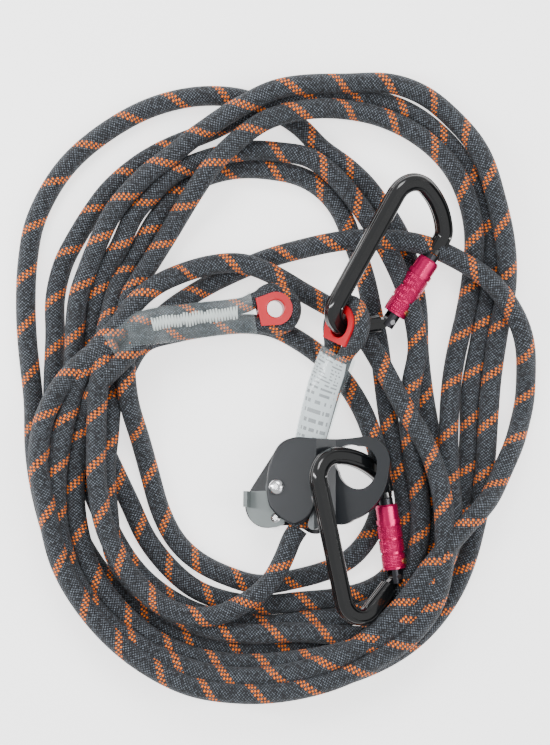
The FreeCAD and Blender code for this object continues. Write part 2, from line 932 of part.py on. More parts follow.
def rope_loop(label, frame, bore_alias):
    """The rope's loop in the thimble's groove, pressed a little flat."""
    line, end = loop_line(bore_alias)
    section = flat_section(
        end,
        Vector(1, 0, 0),
        Vector(0, 1, 0),
        size("loop_half_width"),
        size("loop_half_height"),
    )
    feature = doc.addObject("Part::Feature", label)
    feature.Shape = line.makePipeShell([section], True, True)
    return keep(feature, label, frame)


def sewn_sleeve(label, stations):
    """The heat-shrunk sleeve with both rope legs inside: a loft through flat round sections."""
    sections = [flat_section(*station) for station in stations]
    feature = doc.addObject("Part::Feature", label)
    feature.Shape = Part.makeLoft(sections, True, False)
    return keep(feature, label)


def eye_mouth(frame, bore_alias):
    """The middle of a loop's two ends, and the directions out of the eye and across it."""
    _, end = loop_line(bore_alias)
    mouth = frame.multVec(Vector(end.x, 0, 0))
    out = frame.Rotation.multVec(Vector(1, 0, 0))
    across = frame.Rotation.multVec(Vector(0, 1, 0))
    return mouth, out, across


def square_to(direction, lean):
    """A unit vector square to a direction, as near as it can be to a wanted lean."""
    unit = Vector(direction).normalize()
    return (lean - unit * lean.dot(unit)).normalize()


# The rope runs straight through the device, slanting a little past the main rivet.
slant = math.radians(size("rope_slant_deg"))
rope_reach = size("cam_offset") + size("cam_radius") + size("rope_gap") + size("rope_diameter") / 2
rope_foot = Vector(rope_reach * math.cos(slant), -rope_reach * math.sin(slant), 0)
rope_up = Vector(math.sin(slant), math.cos(slant), 0)
ROPE_TOP = DEVICE.multVec(rope_foot + rope_up * 34.0)
ROPE_EXIT = DEVICE.multVec(rope_foot - rope_up * 22.4)


def rope_through():
    """The straight length of rope inside the device."""
    run = ROPE_TOP - ROPE_EXIT
    rope = primitive(
        "Cylinder",
        "rope_through",
        Placement(ROPE_EXIT, Rotation(Vector(0, 0, 1), run)),
        Radius="sizes.rope_diameter / 2",
        Height=f"{run.Length}",
    )
    return keep(rope, "rope_through")


thimble("thimble_head", HEAD_EYE, "head_bore_radius")
thimble("thimble_tail", TAIL_EYE, "tail_bore_radius")
rope_loop("rope_loop_head", HEAD_EYE, "head_bore_radius")
rope_loop("rope_loop_tail", TAIL_EYE, "tail_bore_radius")
rope_through()

head_mouth, head_out, head_across = eye_mouth(HEAD_EYE, "head_bore_radius")
into_device = (ROPE_EXIT - ROPE_TOP).normalize()
device_across = DEVICE.Rotation.multVec(Vector(1, 0, 0))
head_middle = (head_mouth * 0.62 + ROPE_TOP * 0.38) + Vector(-1.0, 0, 0)
head_run = (ROPE_TOP - head_mouth).normalize()
sewn_sleeve(
    "sleeve_head",
    [
        (head_mouth, head_out, head_across, 12.2, 6.4),
        (
            head_middle,
            head_run,
            square_to(head_run, head_across * 0.6 + device_across * 0.4),
            10.2,
            6.5,
        ),
        (ROPE_TOP, into_device, square_to(into_device, device_across), 9.4, 6.4),
    ],
)

tail_mouth, tail_out, tail_across = eye_mouth(TAIL_EYE, "tail_bore_radius")
flat = Vector(0, 1, 0)
TAIL_ROUTE = [
    Vector(-166.5, 12.5, 31.4),
    Vector(-158.8, 22.2, 31.6),
    Vector(-149.6, 29.0, 31.8),
    Vector(-138.3, 33.6, 32.0),
]
TAIL_SLEEVE = [
    (Vector(-66.0, 51.3, 21.8), Vector(-1.0, -0.10, 0.14), 9.9, 6.6),
    (Vector(-117.0, 44.4, 31.3), Vector(-1.0, -0.22, 0.12), 10.2, 6.5),
    (Vector(-138.3, 33.6, 32.0), TAIL_ROUTE[-2] - TAIL_ROUTE[-1], 6.4, 6.3),
]
sewn_sleeve(
    "sleeve_tail",
    [(tail_mouth, tail_out, tail_across, 12.0, 6.4)]
    + [
        (centre, way.normalize(), square_to(way, -flat), wide, high)
        for centre, way, wide, high in TAIL_SLEEVE
    ],
)


# ---------------------------------------------------------------- free rope


def tangent_tube(label, route):
    """A rope tube along a route: straight runs joined by the largest arcs that they allow."""
    radius = size("rope_diameter") / 2
    edges = []
    here = route[0]
    length = 0.0
    for before, corner, after in zip(route, route[1:], route[2:]):
        back, ahead = before - corner, after - corner
        reach = 0.45 * min(back.Length, ahead.Length)
        start = corner + back.normalize() * reach
        end = corner + ahead.normalize() * reach
        half_turn = (math.pi - back.getAngle(ahead)) / 2
        bend = reach / math.tan(half_turn)
        bulge = bend / math.cos(half_turn) - bend
        middle = corner + (back + ahead).normalize() * bulge
        edges.append(Part.LineSegment(here, start).toShape())
        edges.append(Part.Arc(start, middle, end).toShape())
        length += edges[-1].Length + edges[-2].Length
        print(f"{label}: bend radius {bend:.0f} mm")
        here = end
    edges.append(Part.LineSegment(here, route[-1]).toShape())
    length += edges[-1].Length
    first = Part.Wire([Part.makeCircle(radius, route[0], route[1] - route[0])])
    solid = Part.Wire(edges).makePipeShell([first], True, True)
    ideal = math.pi * radius**2 * length
    print(f"{label}: length {length:.0f} mm, volume {solid.Volume / ideal:.4f} of section x length")
    feature = doc.addObject("Part::Feature", label)
    feature.Shape = solid
    return keep(feature, label)


EXIT_ROUTE = [
    ROPE_EXIT,
    ROPE_EXIT + into_device * 11.0,
    Vector(-35.0, -94.6, 22.0),
    Vector(-41.0, -101.2, 21.6),
]
tangent_tube("rope_exit", EXIT_ROUTE)
tangent_tube("rope_tail", TAIL_ROUTE)

# The coil's outer and inner edge, station by station, clockwise from the left.
COIL_STATIONS = [
    ((-192, 1), (-124.5, 1)),
    ((-199, 61), (-126, 61)),
    ((-184, 124), (-90, 114)),
    ((-137, 176), (-70, 136)),
    ((-63, 192), (-50, 132)),
    ((0, 198), (-9, 124)),
    ((62, 184), (4, 95)),
    ((90, 151), (7, 79)),
    ((105, 97), (10, 61)),
    ((105, 61), (4, 43)),
    ((116, 13), (-2, 10)),
    ((102, -41), (16, -35)),
    ((72, -95), (0, -86)),
    ((33, -149), (-16, -96)),
    ((-27, -179), (-33, -106)),
    ((-93, -174), (-78, -107)),
    ((-147, -134), (-104, -88)),
    ((-183, -59), (-114, -53)),
]
LOW_STATIONS = range(5, 14)
# Strands that cross the coil's open middle.
BRIDGES = {
    "rope_arch_1": [(-125, 59), (-112, 78), (-60, 90), (-59, 74)],
    "rope_arch_2": [(-60, 90), (-59, 74), (4, 90), (-0.5, 104)],
    "rope_arch_3": [(-57, 73.6), (-48, 76), (0, 57), (-8, 44.5)],
    "rope_cross_1": [(-50, 48), (-52.5, 36), (-16.5, 18), (-10.5, 30)],
    "rope_cross_2": [(-10.5, 30), (-16.5, 18), (-5, 4), (-1.5, 15)],
}


def rope_block(label, corners, height_alias):
    """A flat block that holds a stretch of coiled strands."""
    body = new_body(label)
    sketch = new_sketch(body, label + "_sketch")
    draw_outline(sketch, corners[0], corners[1:] + corners[:1])
    pad(body, sketch, f"sizes.{height_alias}")
    return keep(body, label)


for number, (outer, inner) in enumerate(COIL_STATIONS):
    next_outer, next_inner = COIL_STATIONS[(number + 1) % len(COIL_STATIONS)]
    height = "coil_low" if number in LOW_STATIONS else "coil_high"
    corners = [outer, inner, next_inner, next_outer]
    rope_block(f"rope_coil_{number + 1:02d}", [(float(x), float(y)) for x, y in corners], height)
for label, corners in BRIDGES.items():
    rope_block(label, [(float(x), float(y)) for x, y in corners], "coil_low")


# ---------------------------------------------------------------- checks and export

doc.recompute()
for thing in doc.Objects:
    if "Invalid" in thing.State or "Error" in thing.State:
        raise RuntimeError(f"{thing.Name} did not build: {thing.State}")

os.makedirs("parts", exist_ok=True)
for node in NODES:
    shape = node.Shape
    if shape.isNull() or not shape.isValid() or not shape.Solids:
        raise RuntimeError(f"{node.Label} has no good shape")
    shape.exportStep(f"parts/{node.Label}.step")
    print(node.Label, round(shape.Volume), "mm3", len(shape.Solids), "solid")
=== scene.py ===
import json
import math

import bmesh
import bpy
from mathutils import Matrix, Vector, noise


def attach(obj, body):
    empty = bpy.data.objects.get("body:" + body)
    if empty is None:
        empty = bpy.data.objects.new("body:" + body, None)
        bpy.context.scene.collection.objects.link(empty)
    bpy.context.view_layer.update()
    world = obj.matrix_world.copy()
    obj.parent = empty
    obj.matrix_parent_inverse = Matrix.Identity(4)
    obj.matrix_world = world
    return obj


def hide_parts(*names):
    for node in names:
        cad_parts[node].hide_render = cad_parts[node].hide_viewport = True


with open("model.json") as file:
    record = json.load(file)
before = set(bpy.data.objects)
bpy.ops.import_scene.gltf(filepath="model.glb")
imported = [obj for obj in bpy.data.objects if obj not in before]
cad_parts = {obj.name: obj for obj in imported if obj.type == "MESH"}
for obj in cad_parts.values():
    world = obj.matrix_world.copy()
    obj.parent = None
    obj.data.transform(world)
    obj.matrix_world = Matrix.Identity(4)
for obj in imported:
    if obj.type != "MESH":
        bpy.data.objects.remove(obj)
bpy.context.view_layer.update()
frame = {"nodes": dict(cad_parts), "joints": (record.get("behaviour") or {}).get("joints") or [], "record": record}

MM = 0.001
ROPE = 0.012
UP = Vector((0, 0, 1))

# ------------------------------------------------------------------ materials


class Shader:
    """A small builder for procedural materials."""

    def __init__(self, name):
        self.material = bpy.data.materials.new(name)
        self.material.use_nodes = True
        self.tree = self.material.node_tree
        self.bsdf = self.tree.nodes["Principled BSDF"]

    def node(self, kind, **values):
        made = self.tree.nodes.new(kind)
        for key, value in values.items():
            setattr(made, key, value)
        return made

    def feed(self, socket, value):
        """Link a socket, or set a constant on it."""
        if isinstance(value, bpy.types.NodeSocket):
            self.tree.links.new(value, socket)
        else:
            socket.default_value = value

    def maths(self, operation, *terms):
        made = self.node("ShaderNodeMath", operation=operation)
        for socket, term in zip(made.inputs, terms):
            self.feed(socket, term)
        return made.outputs[0]

    def mix(self, share, low, high):
        made = self.node("ShaderNodeMix", data_type="RGBA")
        self.feed(made.inputs[0], share)
        self.feed(made.inputs[6], low)
        self.feed(made.inputs[7], high)
        return made.outputs[2]

    def noise(self, scale, detail=3.0):
        made = self.node("ShaderNodeTexNoise")
        made.inputs["Scale"].default_value = scale
        made.inputs["Detail"].default_value = detail
        place = self.node("ShaderNodeTexCoord").outputs["Object"]
        self.tree.links.new(place, made.inputs["Vector"])
        return made.outputs["Fac"]

    def ramp(self, value, low, high):
        """The value's part between low and high, as 0 to 1."""
        made = self.node("ShaderNodeMapRange")
        for socket, term in zip(made.inputs, (value, low, high, 0.0, 1.0)):
            self.feed(socket, term)
        return made.outputs[0]

    def bump(self, height, distance, strength=1.0):
        made = self.node("ShaderNodeBump")
        made.inputs["Strength"].default_value = strength
        made.inputs["Distance"].default_value = distance
        self.tree.links.new(height, made.inputs["Height"])
        self.tree.links.new(made.outputs[0], self.bsdf.inputs["Normal"])

    def surface(self, **values):
        for key, value in values.items():
            self.feed(self.bsdf.inputs[key.replace("_", " ")], value)


def coated(name, colour, roughness, metal, vary=0.12, grain=900.0, bump=0.00001, coat=0.0):
    """A coated or bare metal or plastic with slight unevenness in colour and gloss."""
    made = Shader(name)
    soft = made.ramp(made.noise(60.0), 0.3, 0.7)
    fine = made.noise(grain, 4.0)
    darker = [c * (1 - vary) for c in colour] + [1.0]
    lighter = [min(1.0, c * (1 + vary)) for c in colour] + [1.0]
    gloss = made.maths("MULTIPLY_ADD", fine, 0.08, roughness - 0.04)
    made.surface(Base_Color=made.mix(soft, darker, lighter), Roughness=gloss, Metallic=metal)
    made.surface(Coat_Weight=coat, Coat_Roughness=0.08)
    made.bump(fine, bump)
    return made.material


def braid_material(name):
    """Braided sheath: crossing yarns, painted highlights along the crests of the top yarns, painted shade in the
    crevices between yarns, and one orange tracer that winds round the rope.
    """
    made = Shader(name)
    carriers, lead = 16, 30.0
    split = made.node("ShaderNodeSeparateXYZ")
    made.tree.links.new(made.node("ShaderNodeUVMap", uv_map="rope").outputs[0], split.inputs[0])
    along, around = split.outputs[0], split.outputs[1]
    turn = made.maths("DIVIDE", along, lead)
    right = made.maths("MULTIPLY", made.maths("ADD", around, turn), float(carriers))
    left = made.maths("MULTIPLY", made.maths("SUBTRACT", around, turn), float(carriers))
    right_yarn = made.maths("FLOORED_MODULO", made.maths("FLOOR", right), float(carriers))
    parity = made.maths("ADD", made.maths("FLOOR", right), made.maths("FLOOR", left))
    over = made.maths("FLOORED_MODULO", parity, 2.0)
    fold_right = made.maths("ABSOLUTE", made.maths("SUBTRACT", made.maths("FRACT", right), 0.5))
    fold_left = made.maths("ABSOLUTE", made.maths("SUBTRACT", made.maths("FRACT", left), 0.5))
    edge = made.maths("MAXIMUM", fold_right, fold_left)
    crown = made.maths("SUBTRACT", 1.0, made.ramp(edge, 0.30, 0.50))
    tracer = made.maths("LESS_THAN", right_yarn, 2.5)
    under = made.maths("SUBTRACT", 1.0, over)
    orange = made.maths("MULTIPLY", tracer, under)
    # Painted highlight: a pale streak along the crest of whichever yarn lies on top.
    left_streak = made.maths("SUBTRACT", 1.0, made.ramp(fold_left, 0.06, 0.26))
    right_streak = made.maths("SUBTRACT", 1.0, made.ramp(fold_right, 0.06, 0.26))
    crest_highlight = made.maths(
        "ADD", made.maths("MULTIPLY", left_streak, over), made.maths("MULTIPLY", right_streak, under)
    )
    # Noise that breaks the painted highlight into patches.
    highlight_patches = made.ramp(made.noise(520.0), 0.36, 0.62)
    pale = made.maths("MULTIPLY", crest_highlight, highlight_patches)
    fuzz = made.noise(2600.0, 4.0)
    dark = made.mix(fuzz, (0.003, 0.0035, 0.0045, 1), (0.010, 0.012, 0.016, 1))
    # The painted highlight's pale blue-grey, laid over the dark yarn colour.
    base = made.mix(made.maths("MULTIPLY", pale, 0.7), dark, (0.22, 0.26, 0.31, 1))
    base = made.mix(orange, base, (0.95, 0.20, 0.008, 1))
    # Painted shade: the crevices between the yarns are darkened most of the way to near black, and the yarn crowns
    # keep their full colour.
    shade = made.maths("MULTIPLY_ADD", crown, 0.75, 0.25)
    shaded = made.mix(shade, (0.006, 0.006, 0.008, 1), base)
    made.surface(Base_Color=shaded, Roughness=0.82, Sheen_Weight=0.04)
    made.bump(made.maths("MULTIPLY_ADD", fuzz, 0.25, crown), 0.0005, 0.8)
    return made.material


rope_look = braid_material("braided rope")
LOOKS = {
    "plates": coated("plate anodising", (0.006, 0.008, 0.011), 0.34, 0.15, 0.12, 1500.0),
    "rivets": coated("polished rivet", (0.72, 0.73, 0.75), 0.20, 1.0, 0.05, 700.0),
    "guide": coated("grey guide", (0.13, 0.14, 0.145), 0.42, 0.5),
    "spring_wire": coated("spring steel", (0.5, 0.5, 0.52), 0.3, 1.0),
    "lever": coated("light grey anodising", (0.15, 0.17, 0.17), 0.42, 0.35, 0.06, 1800.0),
    "cam": coated("blasted steel", (0.35, 0.36, 0.38), 0.5, 1.0),
    "connector_frame": coated("gloss black", (0.004, 0.0045, 0.005), 0.13, 0.0, 0.1, 300.0, 0.000003, 0.25),
    "gate": coated("dark gate", (0.03, 0.03, 0.035), 0.3, 0.8),
    "pin": coated("bare pin", (0.45, 0.45, 0.47), 0.3, 1.0),
    "bush": coated("magenta bush", (0.42, 0.012, 0.10), 0.3, 0.7),
    "lock_sleeve": coated("magenta anodising", (0.50, 0.006, 0.09), 0.26, 0.7, 0.10, 1200.0),
    "brass": coated("brass", (0.60, 0.42, 0.16), 0.28, 1.0),
    "thimble": coated("red plastic", (0.50, 0.004, 0.014), 0.34, 0.0, 0.08, 800.0),
    "shrink_film": coated("dark film", (0.02, 0.02, 0.022), 0.25, 0.0),
    "rope": rope_look,
}
slots = {part["node"]: part["material_slot"] for part in frame["record"]["subparts"]}
for name, node in frame["nodes"].items():
    node.data.materials.clear()
    node.data.materials.append(LOOKS[slots[name]])

# ------------------------------------------------------------------ the rope's route

# Each lap of the free rope, clockwise from above, as points in millimetres on the floor plan.
# A lap's rank says which laps it lies on: higher ranks lie over lower ones.
LAPS = {
    "from the device": [
        (-30, -75), (-34, -86), (-39, -97), (-46, -108), (-57, -117), (-74, -126), (-93, -127),
        (-111, -119), (-126, -105), (-136, -90), (-144, -71), (-148, -47), (-148, -23), (-147, 1),
        (-144, 31),
    ],
    "lap 1": [
        (-140, 58), (-134, 77), (-124, 93), (-116, 108), (-106, 122), (-94, 132), (-80, 138),
        (-63, 141), (-44, 140), (-26, 136), (-12, 127), (-2, 114), (5, 97), (12, 76), (16, 58),
        (21, 34), (24, 10), (27, -14), (32, -38), (36, -62), (35, -86), (28, -104), (14, -114),
        (-6, -119), (-27, -121), (-50, -123), (-70, -121), (-90, -114), (-106, -101), (-120, -83),
        (-130, -62), (-140, -41), (-149, -20), (-153, 4), (-153, 31),
    ],
    "lap 2": [
        (-150, 58), (-146, 76), (-136, 93), (-128, 112), (-117, 125), (-104, 137), (-90, 143),
        (-74, 148), (-56, 151), (-38, 150), (-22, 147), (-9, 138), (2, 126), (12, 113), (21, 99),
        (29, 84), (36, 67), (41, 49), (43, 30), (39, 10), (38, -14), (41, -38), (45, -62), (44, -86),
        (37, -106), (22, -120), (2, -129), (-22, -132), (-48, -135), (-73, -132), (-94, -126),
        (-114, -114), (-129, -99), (-142, -78), (-153, -54), (-160, -28), (-164, 1), (-163, 31),
    ],
    "lap 3": [
        (-160, 61), (-154, 79), (-148, 94), (-140, 112), (-130, 125), (-118, 137), (-104, 147),
        (-90, 158), (-76, 167), (-61, 176), (-44, 185), (-25, 189), (2, 191), (28, 191), (51, 183),
        (69, 167), (82, 148), (90, 124), (96, 97), (97, 70), (93, 43), (89, 16), (86, -11), (84, -38),
        (81, -65), (75, -92), (64, -117), (47, -139), (26, -155), (-1, -166), (-30, -171), (-60, -173),
        (-90, -169), (-117, -158), (-141, -141), (-160, -118), (-174, -89), (-183, -59), (-188, -29),
        (-189, 1), (-192, 34),
    ],
    "lap 4": [
        (-193, 61), (-192, 85), (-187, 110), (-172, 138), (-151, 159), (-123, 176), (-93, 184),
        (-66, 184), (-45, 177), (-28, 167), (-14, 153), (0, 143), (13, 131), (24, 116), (34, 99),
        (40, 79), (44, 55), (45, 31), (48, 4), (52, -20), (54, -47), (56, -74), (51, -100), (40, -120),
        (23, -136), (0, -145), (-26, -149), (-54, -151), (-81, -148), (-106, -139), (-129, -124),
        (-148, -103), (-163, -78), (-172, -50), (-177, -20), (-177, 13), (-176, 40),
    ],
    "lap 5": [
        (-176, 62), (-171, 82), (-164, 96), (-154, 113), (-142, 129), (-124, 144), (-104, 155),
        (-80, 164), (-57, 173), (-33, 179), (-9, 183), (15, 183), (39, 175), (60, 159), (76, 138),
        (86, 114), (90, 88), (86, 61), (81, 34), (76, 4), (75, -23), (72, -50), (66, -77), (57, -102),
        (41, -124), (20, -139), (-7, -139), (-31, -138), (-55, -139), (-79, -136), (-102, -127),
        (-122, -113), (-138, -93), (-142, -68), (-144, -41), (-142, -20), (-140, 1), (-133, 17),
    ],
    "lap 6": [
        (-122, 35), (-104, 41), (-84, 45), (-61, 47), (-44, 45), (-28, 37), (-13, 26), (0, 12),
        (10, -4), (17, -22), (22, -41), (22, -62), (16, -80), (4, -95), (-12, -103), (-31, -108),
        (-52, -111), (-73, -105), (-90, -96), (-103, -83), (-112, -65), (-118, -44), (-124, -22),
        (-130, 2), (-132, 30),
    ],
    "lap 7": [
        (-130, 58), (-123, 74), (-113, 91), (-102, 108), (-91, 124), (-79, 141), (-64, 156),
        (-48, 167), (-27, 173), (3, 175), (30, 168), (53, 153), (69, 133), (77, 108), (77, 82),
        (73, 55), (67, 28), (63, 1), (62, -26), (63, -53), (62, -80), (53, -105), (38, -125),
        (16, -141), (-9, -150), (-37, -156), (-64, -157), (-91, -153), (-115, -142), (-135, -125),
        (-151, -103), (-160, -77), (-163, -50), (-160, -23), (-154, -4), (-146, 11),
    ],
    "lap 8": [
        (-135, 22), (-123, 36), (-108, 53), (-90, 66), (-69, 77), (-46, 87), (-24, 93), (2, 97),
        (27, 97), (50, 93), (69, 84), (87, 71), (101, 51), (108, 28), (109, 3), (104, -18), (95, -38),
        (86, -56), (72, -71), (59, -86), (48, -100), (36, -117), (22, -132), (3, -147), (-22, -157),
        (-50, -163), (-79, -162), (-105, -154), (-129, -141), (-150, -123), (-165, -99), (-172, -71),
        (-172, -42), (-169, -21), (-164, 0), (-157, 18),
    ],
    "lap 9": [
        (-147, 33), (-136, 44), (-127, 56), (-114, 68), (-98, 77), (-80, 82), (-62, 83), (-45, 77),
        (-27, 67), (-9, 57), (5, 47), (16, 32), (26, 13), (36, -6), (47, -24), (55, -47), (58, -74),
        (57, -100), (50, -122), (34, -141), (14, -154), (-10, -165), (-37, -171), (-64, -172),
        (-92, -168), (-117, -156), (-139, -139), (-157, -118), (-170, -94), (-177, -65), (-182, -38),
        (-180, -14), (-172, 5), (-162, 18), (-150, 29), (-138, 33),
    ],
}
RANKS = {
    "from the device": 9,
    "lap 1": 1,
    "lap 2": 2,
    "lap 3": 5,
    "lap 4": 0,
    "lap 5": 4,
    "lap 6": 7,
    "lap 7": 6,
    "lap 8": 8,
    "lap 9": 10,
}
START = Vector((-28.1, -75.2, 20.9))
FINISH = Vector((-134.0, 36.0, 31.0))


def smooth_line(points, steps):
    """Points on a smooth curve through the given ones."""
    line = []
    last = len(points) - 1
    for i in range(last):
        a, b = points[max(i - 1, 0)], points[i]
        c, d = points[i + 1], points[min(i + 2, last)]
        for k in range(steps):
            t = k / steps
            line.append(
                0.5
                * (
                    b * 2
                    + (c - a) * t
                    + (a * 2 - b * 5 + c * 4 - d) * t * t
                    + (b * 3 - a - c * 3 + d) * t * t * t
                )
            )
    line.append(points[-1].copy())
    return line


def even_line(points, spacing):
    """The same line with points at an even spacing."""
    out = [points[0].copy()]
    left = spacing
    for a, b in zip(points, points[1:]):
        run = (b - a).length
        gone = 0.0
        while run - gone >= left:
            gone += left
            out.append(a.lerp(b, gone / run))
            left = spacing
        left -= run - gone
    return out


def rope_plan():
    """The whole route on the floor plan, each point's rank standing in for its height."""
    points = []
    for name, lap in LAPS.items():
        for x, y in lap:
            points.append(Vector((x, y, RANKS[name])))
    return even_line(smooth_line(points, 6), 6.0)


def settle(plan):
    """Give each point of the plan its height: each strand lies on the strands ranked below it."""
    width = ROPE / MM
    pressed, highest, own_stretch = width - 0.4, 30.0, 6
    order = sorted(range(len(plan)), key=lambda i: plan[i].z)
    grid, height = {}, [width / 2] * len(plan)
    for i in order:
        p = plan[i]
        cell = (int(p.x // width), int(p.y // width))
        top = width / 2
        for dx in (-1, 0, 1):
            for dy in (-1, 0, 1):
                for j in grid.get((cell[0] + dx, cell[1] + dy), ()):
                    if abs(i - j) < own_stretch:
                        continue
                    gap = math.hypot(p.x - plan[j].x, p.y - plan[j].y)
                    if gap < pressed:
                        top = max(top, height[j] + math.sqrt(pressed**2 - gap * gap))
        height[i] = min(top, highest)
        grid.setdefault(cell, []).append(i)
    for _ in range(3):
        raised = [max(height[max(i - 1, 0) : i + 2]) for i in range(len(height))]
        height = [
            0.25 * raised[max(i - 1, 0)] + 0.5 * raised[i] + 0.25 * raised[min(i + 1, len(raised) - 1)]
            for i in range(len(raised))
        ]
    return height


plan = rope_plan()
heights = settle(plan)
wobble = [noise.noise(Vector((i * 0.11, 3.7, 0.2))) * 0.9 for i in range(len(plan))]
route = [
    Vector((p.x + wobble[i], p.y - 0.6 * wobble[i], heights[i])) for i, p in enumerate(plan)
]
# Both ends of the route run down evenly from the fittings to the coil.
run_in = 10
for i in range(run_in):
    route[i].z = START.z + (route[run_in].z - START.z) * i / run_in
    back = len(route) - 1 - i
    route[back].z = FINISH.z + (route[len(route) - 1 - run_in].z - FINISH.z) * i / run_in
route[0] = START.copy()
route[-1] = FINISH.copy()


def spline_points(name, points, steps=4):
    """A NURBS route through space, and the points that it passes, in metres."""
    curve = bpy.data.curves.new(name, "CURVE")
    curve.dimensions = "3D"
    curve.resolution_u = steps
    spline = curve.splines.new("NURBS")
    spline.points.add(len(points) - 1)
    for slot, p in zip(spline.points, points):
        slot.co = (p.x * MM, p.y * MM, p.z * MM, 1.0)
    spline.order_u = 3
    spline.use_endpoint_u = True
    guide = bpy.data.objects.new(name, curve)
    bpy.context.scene.collection.objects.link(guide)
    bpy.context.view_layer.update()
    mesh = bpy.data.meshes.new_from_object(guide)
    line = [v.co.copy() for v in mesh.vertices]
    bpy.data.meshes.remove(mesh)
    bpy.data.objects.remove(guide)
    return line


def link(name, mesh, look):
    """Turn a bmesh into an object in the scene, with its look."""
    data = bpy.data.meshes.new(name)
    mesh.to_mesh(data)
    mesh.free()
    data.materials.append(look)
    made = bpy.data.objects.new(name, data)
    bpy.context.scene.collection.objects.link(made)
    return made


def rope_tube(name, line, radius, sides=26, squash=(1.0, 1.0)):
    """A closed rope tube along a line, with its length and girth in the UV map."""
    mesh = bmesh.new()
    uv = mesh.loops.layers.uv.new("rope")
    tangents = []
    for i in range(len(line)):
        ahead = line[min(i + 1, len(line) - 1)] - line[max(i - 1, 0)]
        tangents.append(ahead.normalized())
    side = tangents[0].cross(UP).normalized()
    rings, reach, gone = [], [], 0.0
    for i, p in enumerate(line):
        side = (side - tangents[i] * side.dot(tangents[i])).normalized()
        rise = side.cross(tangents[i]).normalized()
        ring = []
        for k in range(sides):
            turn = 2 * math.pi * k / sides
            spoke = side * math.cos(turn) * squash[0] + rise * math.sin(turn) * squash[1]
            ring.append(mesh.verts.new(p + spoke * radius))
        rings.append(ring)
        if i:
            gone += (p - line[i - 1]).length
        reach.append(gone / MM)
    for i in range(len(rings) - 1):
        for k in range(sides):
            after = (k + 1) % sides
            face = mesh.faces.new((rings[i][k], rings[i][after], rings[i + 1][after], rings[i + 1][k]))
            face.smooth = True
            girth = (k / sides, (k + 1) / sides)
            spots = (
                (reach[i], girth[0]),
                (reach[i], girth[1]),
                (reach[i + 1], girth[1]),
                (reach[i + 1], girth[0]),
            )
            for loop, spot in zip(face.loops, spots):
                loop[uv].uv = spot
    mesh.faces.new(rings[0][::-1])
    mesh.faces.new(rings[-1])
    mesh.normal_update()
    return link(name, mesh, rope_look)


rope_line = spline_points("rope route", route, 3)
rope_line = even_line(rope_line, 0.0036)
free_rope = rope_tube("free_rope", rope_line, ROPE / 2)
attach(free_rope, "adjuster")
coil_nodes = [n for n in frame["nodes"] if n.startswith(("rope_coil", "rope_arch", "rope_cross"))]
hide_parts("rope_exit", "rope_tail", *coil_nodes)

through = rope_tube(
    "rope_in_device",
    [Vector(p) * MM for p in ((-20.5, -21.9, 17.2), (-24.3, -48.5, 19.05), (-28.1, -75.2, 20.9))],
    ROPE / 2,
)
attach(through, "adjuster")
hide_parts("rope_through")


# ------------------------------------------------------------------ sewn eyes

# Each eye: its bore's centre and axes, the loop's radius and the stations of its sleeve, as
# (centre, direction across, half width, half height, half spacing of the two rope legs).
EYES = {
    "head": {
        "centre": (0.0, 45.0, 30.4),
        "axes": ((-0.271, -0.947, -0.174), (0.581, -0.305, 0.754)),
        "radius": 13.5,
        "stations": [
            ((-4.5, 29.5, 27.5), (0.581, -0.305, 0.754), 12.6, 6.9, 6.4),
            ((-8.5, 19.0, 25.2), (0.80, -0.26, 0.54), 11.4, 6.6, 5.3),
            ((-13.2, 6.0, 22.6), (0.90, -0.20, 0.38), 10.6, 6.6, 5.0),
            ((-20.8, -23.0, 17.4), (0.965, -0.122, 0.231), 9.6, 6.4, 4.2),
        ],
    },
    "tail": {
        "centre": (-42.4, 55.4, 20.0),
        "axes": ((-0.973, -0.207, 0.105), (0.208, -0.978, 0.0)),
        "radius": 11.2,
        "stations": [
            ((-55.0, 52.7, 21.4), (0.208, -0.978, 0.0), 13.2, 6.4, 7.2),
            ((-63.5, 51.4, 22.0), (0.12, -0.99, 0.0), 10.6, 6.8, 5.6),
            ((-90.0, 48.3, 26.2), (0.14, -0.99, 0.0), 10.8, 6.8, 5.6),
            ((-118.0, 44.4, 30.6), (0.30, -0.95, 0.0), 10.6, 6.6, 5.2),
            ((-129.0, 39.0, 31.2), (0.42, -0.90, 0.0), 8.6, 6.6, 1.5),
            ((-139.5, 33.0, 31.4), (0.50, -0.86, 0.0), 8.4, 6.6, 0.0),
        ],
    },
}


# Below 1, this power squares up the sleeve's oval section.
BOXY = 0.75


def eye_centre_line(eye, stations):
    """The rope's line: in along one side of the sleeve, round the thimble, out along the other."""
    centre = Vector(eye["centre"])
    out, across = (Vector(a) for a in eye["axes"])
    radius = eye["radius"]
    legs = {}
    for sign in (-1, 1):
        legs[sign] = [
            Vector(place) + Vector(side).normalized() * sign * spread
            for place, side, _, _, spread in stations
        ]
    bend = []
    for k in range(17):
        turn = math.radians(50 + 260 * k / 16)
        bend.append(centre + out * radius * math.cos(turn) + across * radius * math.sin(turn))
    line = legs[1][::-1] + bend + legs[-1]
    return smooth_line(line, 5)


def sleeve_sections(stations, steps, skip=0):
    """The sleeve's cross-sections: the middle, the directions across and up, and the half sizes."""
    centres = smooth_line([Vector(s[0]) for s in stations], steps)[skip:]
    sides = smooth_line([Vector(s[1]).normalized() for s in stations], steps)[skip:]
    sizes = smooth_line([Vector((s[2], s[3], 0)) for s in stations], steps)[skip:]
    sections = []
    for i, (place, side, half) in enumerate(zip(centres, sides, sizes)):
        run = (centres[min(i + 1, len(centres) - 1)] - centres[max(i - 1, 0)]).normalized()
        side = (side - run * side.dot(run)).normalized()
        rise = run.cross(side)
        if rise.z < 0:
            rise = -rise
        sections.append((place, side, rise, half))
    return sections


